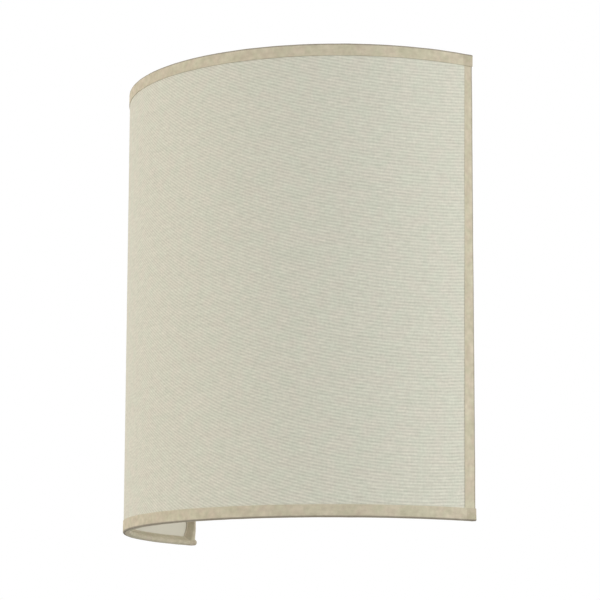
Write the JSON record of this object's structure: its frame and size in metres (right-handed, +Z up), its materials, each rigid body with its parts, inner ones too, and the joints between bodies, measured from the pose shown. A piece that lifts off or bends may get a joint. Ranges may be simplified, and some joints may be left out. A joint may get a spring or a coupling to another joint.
{
  "type": "wall light",
  "caption": "Half-drum wall light: linen-look cloth shade with taped edges on a wire frame that pulls off a wall canopy with a bent arm, lampholder and globe lamp.",
  "frame": {"origin": "in the wall plane, at the centre of the two wall screw slots, level with the middle of the shade", "axes": "+X to the right as seen from the room, -Y out of the wall towards the room, +Z up"},
  "size_m": [0.2392, 0.111, 0.25],
  "materials": {
    "linen_cloth": "ecru linen-look plain weave, matt, slubby",
    "edge_tape": "beige woven bias tape, matt",
    "liner": "off-white shade liner, satin",
    "frame_wire": "white powder-coated steel, satin",
    "white_paint": "white powder-coated steel, fine texture",
    "zinc_steel": "bright zinc plate",
    "polished_brass": "turned brass",
    "tinned_brass": "tinned brass",
    "black_rubber": "matt black rubber",
    "terminal_moulding": "natural white polyamide",
    "brown_sleeve": "brown insulation",
    "blue_sleeve": "blue insulation",
    "green_yellow_sleeve": "green and yellow insulation",
    "holder_moulding": "white moulded plastic",
    "white_ceramic": "unglazed steatite",
    "black_glass": "black cap glass",
    "nickel_cap": "nickel-plated screw cap",
    "lamp_moulding": "white moulded lamp neck",
    "board_aluminium": "white-coated aluminium board",
    "opal_globe": "opal frosted plastic globe"
  },
  "bodies": {
    "wall_unit": {"mounting_strap": "zinc_steel", "supply_grommet": "black_rubber", "canopy": "white_paint", "canopy_screws": "zinc_steel", "terminal_block": "terminal_moulding", "terminal_inserts": "polished_brass", "terminal_clamp_screws": "zinc_steel", "terminal_fixing_screws": "zinc_steel", "earth_lug": "tinned_brass", "earth_screw": "polished_brass", "shade_studs": "zinc_steel", "stud_nuts": "zinc_steel", "arm_tube": "white_paint", "arm_lock_nuts": "zinc_steel", "arm_washers": "zinc_steel", "live_lead": "brown_sleeve", "neutral_lead": "blue_sleeve", "earth_lead": "green_yellow_sleeve", "holder_base": "holder_moulding", "holder_grub_screw": "zinc_steel", "holder_skirt": "holder_moulding", "holder_insert": "white_ceramic", "holder_thread_shell": "tinned_brass", "holder_centre_contact": "polished_brass"},
    "shade": {"shade_cloth": "linen_cloth", "shade_liner": "liner", "top_binding": "edge_tape", "bottom_binding": "edge_tape", "left_binding": "edge_tape", "right_binding": "edge_tape", "top_hoop": "frame_wire", "bottom_hoop": "frame_wire", "left_upright": "frame_wire", "right_upright": "frame_wire", "upper_crossbar": "frame_wire", "lower_crossbar": "frame_wire"},
    "upper_nut": {"upper_thumb_nut": "polished_brass"},
    "lower_nut": {"lower_thumb_nut": "polished_brass"},
    "bulb": {"bulb_tip_contact": "tinned_brass", "bulb_insulator": "black_glass", "bulb_screw_cap": "nickel_cap", "bulb_body": "lamp_moulding", "led_board": "board_aluminium", "bulb_diffuser": "opal_globe"}
  },
  "joints": [
    {"name": "shade_slide", "type": "slide", "parent": "wall_unit", "child": "shade", "axis": [0, -1, 0], "range_m": [0, 0.13]},
    {"name": "upper_nut_turn", "type": "hinge", "parent": "shade", "child": "upper_nut", "pos_m": [0, -0.0273, 0.083], "axis": [0, -1, 0], "continuous": true},
    {"name": "lower_nut_turn", "type": "hinge", "parent": "shade", "child": "lower_nut", "pos_m": [0, -0.0273, -0.083], "axis": [0, -1, 0], "continuous": true},
    {"name": "bulb_slide", "type": "slide", "parent": "wall_unit", "child": "bulb", "axis": [0, 0, 1], "range_m": [0, 0.026]}
  ]
}
